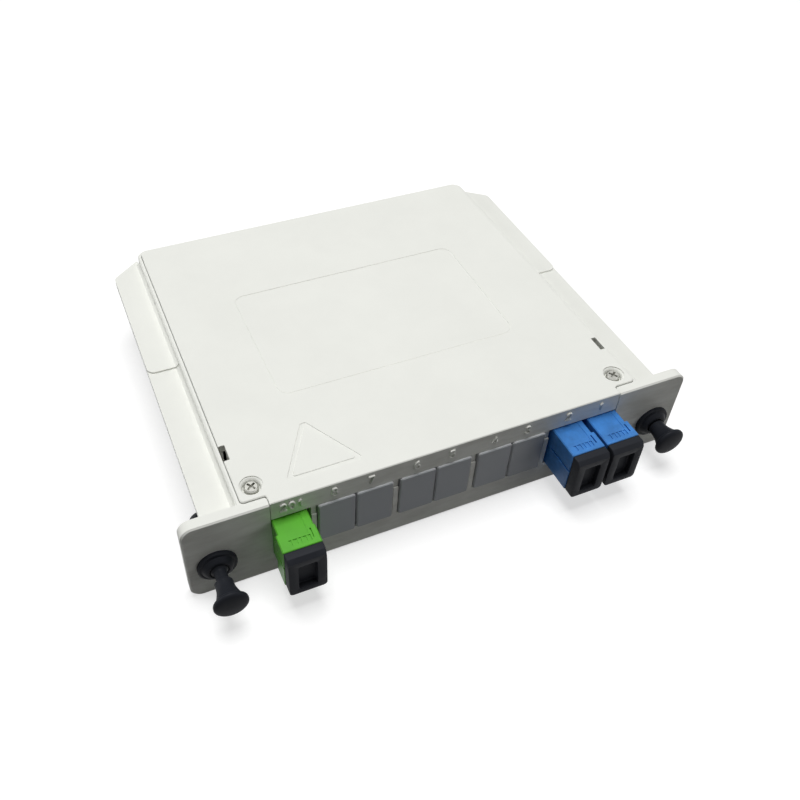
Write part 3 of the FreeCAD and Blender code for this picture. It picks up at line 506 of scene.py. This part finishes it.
def bare_metal(name, colour, rough):
    """Plated or drawn metal: the skin's mottling varies its gloss, and a finer grain is its bump."""
    material = moulded_plastic(name, colour, rough, grain=9000.0, depth=0.000004, strength=0.2, shift=0.06)
    material.node_tree.nodes["Principled BSDF"].inputs["Metallic"].default_value = 1.0
    return material


screw_zinc = bare_metal("zinc plate", linear(176, 176, 170), 0.36)


# In millimetres: the pocket's radius, how far its fillet sweeps in, how far and by what power it falls,
# and how deep below the cover's top the ring starts and ends.
POCKET_R = 2.64
FILLET_REACH = 0.69
FILLET_FALL = 1.21
FILLET_POWER = 0.8
FILLET_START = 0.28
FILLET_END = 1.49


def pocket_seat(side):
    """Dished fillet of the cover round a screw head: a ring about the screw whose top sweeps inward by
    the reach times sin t and down by the fall times (1 - cos t) to a power, closed by its back and its
    base."""
    low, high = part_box("cover_screw_" + side)
    x = (low.x + high.x) / 2
    y = (low.y + high.y) / 2
    fall = np.linspace(0, np.pi / 2, 9)
    reach = POCKET_R - FILLET_REACH * np.sin(fall)
    depth = FILLET_START + FILLET_FALL * (1 - np.cos(fall)) ** FILLET_POWER
    back = [(POCKET_R, FILLET_END), (POCKET_R, FILLET_START)]
    profile = np.concatenate([np.stack([reach, depth], axis=1), back])
    turn = np.linspace(0, 2 * np.pi, 64, endpoint=False)[None, :]
    radius = profile[:, :1] * MM
    grid = np.stack([x + radius * np.cos(turn), y + radius * np.sin(turn),
                     COVER_TOP - profile[:, 1:] * MM + 0 * turn], axis=-1)
    seat = surface("screw_seat_" + side, [grid], housing_white, "housing")


for side in ("left", "right"):
    finish_node("cover_screw_" + side, screw_zinc)
    pocket_seat(side)


# ---------------------------------------------------------------- blank plates
# Push-in plugs in a slightly cooler, smoother ABS than the tray, half a millimetre proud. Their faces that
# look forward carry painted shade, a darker grey than their light edges.

blank_grey = moulded_plastic("cool white ABS", linear(224, 226, 228), 0.42, level=0.22)
# Painted shade: faces that look forward are laid over with a darker grey.
faced(blank_grey, linear(165, 169, 174), "Forward")
for port in range(3, 9):
    finish_node("blank_plate_" + str(port), blank_grey)


# ---------------------------------------------------------------- adapters
# SC adapters in two moulded halves of PBT, green for angled polish at the input and blue for flat
# polish at the outputs, with a split ceramic sleeve held between two pale latch holders.

adapter_green = moulded_plastic("green PBT", linear(88, 170, 48), 0.36, depth=0.000006, level=0.25,
                                shift=0.12, mottle=110.0)
adapter_blue = moulded_plastic("blue PBT", linear(61, 123, 192), 0.36, depth=0.000006, level=0.25,
                               shift=0.26, mottle=230.0)
holder_white = moulded_plastic("natural PEI", linear(232, 228, 212), 0.35)
zirconia = moulded_plastic("ground zirconia", linear(240, 238, 232), 0.18, grain=9000.0, strength=0.1)
boot_white = moulded_plastic("soft white boot", linear(225, 225, 224), 0.6)
fibre_white = moulded_plastic("white sheath", linear(232, 232, 230), 0.45, grain=7000.0)
COLOURS = {"input": adapter_green, "output_1": adapter_blue, "output_2": adapter_blue}
for port, colour in COLOURS.items():
    for part in ("_adapter_front", "_adapter_rear", "_connector"):
        finish_node(port + part, colour)
    for part in ("_holder_front", "_holder_rear"):
        finish_node(port + part, holder_white)
    for part in ("_sleeve", "_ferrule"):
        finish_node(port + part, zirconia)
    finish_node(port + "_boot", boot_white)
    finish_node(port + "_fibre", fibre_white)


# ---------------------------------------------------------------- dust caps
# Soft black caps, one pushed into each adapter: a thick flange with rounded lower corners, a sloping
# top edge and a square finger recess, moulded in one with a hollow plug.

FLANGE_T = 2.65 * MM
SLOPE = 0.9 * MM
LOWER_CORNER = 0.9 * MM
UPPER_CORNER = 0.2 * MM
PLUG_CORNER = 0.35 * MM
FACE_INSET = 0.14 * MM
FACE_LOWER_CORNER = 0.8 * MM
FACE_UPPER_CORNER = 0.15 * MM
RECESS_HALF = 2.2 * MM
RECESS_LOW = 1.7 * MM
RECESS_HIGH = 9.9 * MM
RECESS_CORNER = 0.5 * MM


def rounded_ring(left, right, low, high, radius, y, upper=None):
    """Closed ring in a plane across Y: a rectangle whose corners are quarter circles of five points, the
    upper two of another radius if one is given, with three points along each side."""
    turn = np.linspace(0, np.pi / 2, 5)
    upper = radius if upper is None else upper
    ring = []
    for x, z, r, start in ((right - radius, low + radius, radius, -np.pi / 2),
                           (right - upper, high - upper, upper, 0.0),
                           (left + upper, high - upper, upper, np.pi / 2),
                           (left + radius, low + radius, radius, np.pi)):
        ring.append(np.stack([x + r * np.cos(start + turn), z + r * np.sin(start + turn)], axis=1))
    points = []
    for index, corner in enumerate(ring):
        following = ring[(index + 1) % 4][0]
        share = np.array((0.25, 0.5, 0.75))[:, None]
        points += [corner, corner[-1] * (1 - share) + following * share]
    flat = np.concatenate(points)
    return np.stack([flat[:, 0], np.full(len(flat), y), flat[:, 1]], axis=1)


def cap_surface(port):
    """Rings from the bottom of the plug's hollow out round the plug, over the flange and into the recess.
    Where a ring of the flange is above the slope's start, its y is at least the ring's own + (z - start)."""
    low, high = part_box(port + "_dust_cap")
    core_low, core_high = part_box(port + "_adapter_rear")
    x = (core_low.x + core_high.x) / 2
    z = (core_low.z + core_high.z) / 2
    front = low.y
    back = front + FLANGE_T
    end = high.y

    def flange(inset, y):
        ring = rounded_ring(low.x + inset, high.x - inset, low.z + inset, high.z - inset,
                            LOWER_CORNER, y, UPPER_CORNER)
        ring[:, 1] = np.maximum(ring[:, 1], y + np.maximum(ring[:, 2] - (high.z - SLOPE), 0.0))
        return ring

    def plug(half_w, half_h, y):
        return rounded_ring(x - half_w, x + half_w, z - half_h, z + half_h, PLUG_CORNER, y)

    def recess(inset, y):
        middle = (low.x + high.x) / 2
        half = RECESS_HALF - inset
        return rounded_ring(middle - half, middle + half, low.z + RECESS_LOW + inset,
                            low.z + RECESS_HIGH - inset, RECESS_CORNER, y)

    rings = [plug(0.4 * MM, 0.4 * MM, back + 0.5 * MM), plug(2.5 * MM, 2.5 * MM, back + 0.5 * MM),
             plug(2.55 * MM, 2.5 * MM, end - 0.05 * MM), plug(2.75 * MM, 2.6 * MM, end),
             plug(3.0 * MM, 2.8 * MM, end - 0.12 * MM), plug(3.1 * MM, 2.9 * MM, end - 0.5 * MM),
             plug(3.1 * MM, 2.9 * MM, back + 0.02 * MM), flange(0.12 * MM, back),
             flange(0.0, back - 0.12 * MM)]
    face = rounded_ring(low.x + FACE_INSET, high.x - FACE_INSET, low.z + FACE_INSET,
                        high.z - SLOPE - 0.1 * MM, FACE_LOWER_CORNER, front, FACE_UPPER_CORNER)
    rings += [flange(0.0, front + FACE_INSET), flange(0.04 * MM, front + 0.04 * MM), face,
              recess(-0.12 * MM, front), recess(-0.03 * MM, front + 0.05 * MM),
              recess(0.0, front + 0.16 * MM), recess(0.12 * MM, front + 1.35 * MM),
              recess(0.3 * MM, front + 1.5 * MM)]
    poles = [np.broadcast_to(ring.mean(axis=0), ring.shape) for ring in (rings[0], rings[-1])]
    grid = np.stack([poles[0]] + rings + [poles[1]])
    return surface("cap_" + port, [grid], cap_black, port + "_cap", smooth=30.0)


cap_black = moulded_plastic("black soft plastic", linear(40, 42, 47), 0.5, depth=0.000012, level=0.06)
for port in COLOURS:
    finish_node(port + "_dust_cap", cap_black)
    cap = cap_surface(port)
    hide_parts(port + "_dust_cap")


# ---------------------------------------------------------------- latches
# Black nylon push-pull rivets: a domed grommet, slit in four behind the ear, and a plunger whose head
# narrows like a trumpet to a shoulder, with a slim neck and a tapered tip behind it.

latch_nylon = moulded_plastic("black nylon", linear(36, 38, 43), 0.42, depth=0.000006, level=0.05)

# In millimetres: the radius of the grommet's slit barrel and half the width of its slits.
BARREL_R = 3.2
SLIT_HALF = 0.4
LATHE_COLUMNS = 72


def lathed(path, x, y, z):
    """Surface of revolution about a line along Y: (x + r cos t, y + d, z + r sin t) for path points
    (d, r) in millimetres."""
    turn = np.linspace(0, 2 * np.pi, LATHE_COLUMNS, endpoint=False)[None, :]
    reach = path[:, 1][:, None] * MM
    along = y + path[:, 0][:, None] * MM + 0 * turn
    return np.stack([x + reach * np.cos(turn), along, z + reach * np.sin(turn)], axis=-1)


def plunger_path(length):
    """Half outline of a plunger as (distance behind the head's front, radius) in millimetres."""
    head = [(0.0, 0.0), (0.05, 1.2), (0.2, 2.6), (0.42, 3.5), (0.8, 3.98), (1.15, 4.0), (1.45, 3.98),
            (1.65, 3.75), (1.85, 3.45), (2.5, 2.98), (3.5, 2.56), (4.6, 2.2), (5.4, 2.12), (6.65, 2.1)]
    waist = [(6.8, 2.02), (6.92, 1.7), (7.2, 1.42), (9.3, 1.42), (9.6, 1.6), (9.9, 2.07), (10.1, 2.08)]
    tail = [(length - 1.8, 2.08), (length - 1.4, 1.98), (length - 0.1, 1.05), (length, 0.9), (length, 0.0)]
    return np.concatenate([eased(head), eased(waist), eased(tail)])


def grommet_grids(x, y, z, length):
    """Grommet as closed grids: a domed and ringed collar, a solid of revolution, and four legs between the
    slits, each an arc of a tapering tube."""
    dome = [(3.0, 2.2), (0.3, 2.2), (0.08, 2.22), (0.0, 2.42), (0.08, 2.8), (0.3, 3.1), (0.7, 3.45),
            (0.95, 3.62), (1.12, 3.72), (1.2, 3.85), (1.16, 4.05), (1.2, 4.3), (1.35, 4.52), (1.5, 4.6),
            (2.2, 4.6)]
    back = [(2.2, BARREL_R), (5.0, BARREL_R), (5.0, 3.45), (5.6, BARREL_R), (5.6, 2.2), (3.0, 2.2)]
    grids = [lathed(np.concatenate([eased(dome), np.array(back)]), x, y, z)]
    loop = np.array([(5.5, 3.19), (14.0, 3.19), (14.2, 3.14), (length - 0.1, 2.7), (length, 2.6),
                     (length, 2.25), (5.5, 2.25)])
    slit = math.asin(SLIT_HALF / BARREL_R)
    for quarter in range(4):
        turn = np.linspace(quarter * np.pi / 2 + slit, (quarter + 1) * np.pi / 2 - slit, 13)[:, None]
        reach = loop[None, :, 1] * MM
        along = y + loop[None, :, 0] * MM + 0 * turn
        leg = np.stack([x + reach * np.cos(turn), along, z + reach * np.sin(turn)], axis=-1)
        ends = [np.broadcast_to(leg[end].mean(axis=0), leg[end].shape)[None] for end in (0, -1)]
        grids.append(np.concatenate([ends[0], leg, ends[1]]))
    return grids


for side in ("left", "right"):
    finish_node("latch_grommet_" + side, latch_nylon)
    finish_node("latch_plunger_" + side, latch_nylon)
    low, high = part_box("latch_plunger_" + side)
    x = (low.x + high.x) / 2
    z = (low.z + high.z) / 2
    path = plunger_path((high.y - low.y) / MM)
    plunger = surface("plunger_" + side, [lathed(path, x, low.y, z)], latch_nylon, side + "_latch")
    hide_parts("latch_plunger_" + side)
    low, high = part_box("latch_grommet_" + side)
    grids = grommet_grids(x, low.y, z, (high.y - low.y) / MM)
    grommet = surface("grommet_" + side, grids, latch_nylon, "housing")
    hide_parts("latch_grommet_" + side)


# ---------------------------------------------------------------- splitter module
# The splitter chip's rectangular steel tube, which lies in a cradle on the tray's floor, closed with a
# black rubber boot at each end that the fibres pass through.

module_steel = bare_metal("drawn steel", linear(190, 190, 192), 0.3)
boot_black = moulded_plastic("black rubber", linear(30, 30, 31), 0.7, level=0.3)
finish_node("splitter_module", module_steel)
finish_node("splitter_boot_in", boot_black)
finish_node("splitter_boot_out", boot_black)


# ---------------------------------------------------------------- floor, light and camera
# A plain white floor that keeps the shadow, a broad soft lamp overhead, one low at the left behind, and a
# weak one in front.

FLOOR_SIZE = 0.8
FLOOR_DROP = 0.00005


def for_eyes(nodes, links):
    """1 for camera, glossy and transmitted rays, and 0 for the rays that carry light between surfaces."""
    path = nodes.new("ShaderNodeLightPath")
    first = nodes.new("ShaderNodeMath")
    first.operation = "MAXIMUM"
    links.new(path.outputs["Is Camera Ray"], first.inputs[0])
    links.new(path.outputs["Is Glossy Ray"], first.inputs[1])
    both = nodes.new("ShaderNodeMath")
    both.operation = "MAXIMUM"
    links.new(first.outputs["Value"], both.inputs[0])
    links.new(path.outputs["Is Transmission Ray"], both.inputs[1])
    return both


def white_floor():
    """Matt white to the eye, whose own faint glow lifts the lit floor to white, and grey to bounced light."""
    material = bpy.data.materials.new("floor")
    material.use_nodes = True
    nodes = material.node_tree.nodes
    links = material.node_tree.links
    nodes.remove(nodes["Principled BSDF"])
    seen = for_eyes(nodes, links)
    dim = nodes.new("ShaderNodeBsdfDiffuse")
    dim.inputs["Color"].default_value = (0.085, 0.085, 0.085, 1.0)
    bright = nodes.new("ShaderNodeBsdfDiffuse")
    bright.inputs["Color"].default_value = (0.5, 0.5, 0.5, 1.0)
    glow = nodes.new("ShaderNodeEmission")
    glow.inputs["Strength"].default_value = 0.62
    shown = nodes.new("ShaderNodeAddShader")
    links.new(bright.outputs["BSDF"], shown.inputs[0])
    links.new(glow.outputs["Emission"], shown.inputs[1])
    choice = nodes.new("ShaderNodeMixShader")
    links.new(seen.outputs["Value"], choice.inputs["Fac"])
    links.new(dim.outputs["BSDF"], choice.inputs[1])
    links.new(shown.outputs["Shader"], choice.inputs[2])
    links.new(choice.outputs["Shader"], nodes["Material Output"].inputs["Surface"])
    return material


corner = FLOOR_SIZE / 2
floor_mesh = bpy.data.meshes.new("floor")
floor_mesh.from_pydata([(-corner, -corner, 0), (corner, -corner, 0), (corner, corner, 0),
                        (-corner, corner, 0)], [], [(0, 1, 2, 3)])
floor_mesh.materials.append(white_floor())
floor = bpy.data.objects.new("floor", floor_mesh)
floor.location.z = -FLOOR_DROP
bpy.context.scene.collection.objects.link(floor)

world = bpy.data.worlds.new("studio")
bpy.context.scene.world = world
world.use_nodes = True
tree = world.node_tree
seen = for_eyes(tree.nodes, tree.links)
strength = tree.nodes.new("ShaderNodeMapRange")
strength.inputs["To Min"].default_value = 0.045
strength.inputs["To Max"].default_value = 1.0
tree.links.new(seen.outputs["Value"], strength.inputs["Value"])
tree.links.new(strength.outputs["Result"], tree.nodes["Background"].inputs["Strength"])
tree.nodes["Background"].inputs["Color"].default_value = (1.0, 1.0, 1.0, 1.0)


def soft_lamp(name, place, aim, size, power):
    """Square area lamp at a place, facing a point."""
    light = bpy.data.lights.new(name, "AREA")
    light.size = size
    light.energy = power
    lamp = bpy.data.objects.new(name, light)
    lamp.location = place
    lamp.rotation_euler = (Vector(aim) - Vector(place)).to_track_quat("-Z", "Y").to_euler()
    bpy.context.scene.collection.objects.link(lamp)
    return lamp


soft_lamp("key", (0.0, 0.1, 1.0), (0.0, 0.04, 0.0), 0.5, 8.6)
soft_lamp("side", (-0.9, 0.5, 0.35), (0.0, 0.05, 0.01), 0.5, 3.0)
soft_lamp("fill", (0.45, -0.42, 0.25), (0.0, 0.0, 0.01), 0.35, 0.47)

# Metres, and degrees of turn about the vertical, of look downward and of roll.
CAMERA_PLACE = (-0.07386, -0.11436, 0.17480)
CAMERA_TURN = -24.50
CAMERA_DOWN = 44.71
CAMERA_ROLL = 1.965

camera_data = bpy.data.cameras.new("camera")
camera_data.sensor_width = 36.0
camera_data.lens = 39.17
camera_data.shift_x = 0.0402
camera_data.shift_y = -0.0213
camera_data.clip_start = 0.01
camera_data.clip_end = 20.0
camera = bpy.data.objects.new("camera", camera_data)
turn = Matrix.Rotation(math.radians(CAMERA_TURN), 4, "Z")
tilt = Matrix.Rotation(math.radians(90 - CAMERA_DOWN), 4, "X")
roll = Matrix.Rotation(math.radians(CAMERA_ROLL), 4, "Z")
camera.matrix_world = Matrix.Translation(CAMERA_PLACE) @ (turn @ tilt) @ roll
bpy.context.scene.collection.objects.link(camera)
bpy.context.scene.camera = camera

bpy.context.scene.view_settings.view_transform = "Standard"
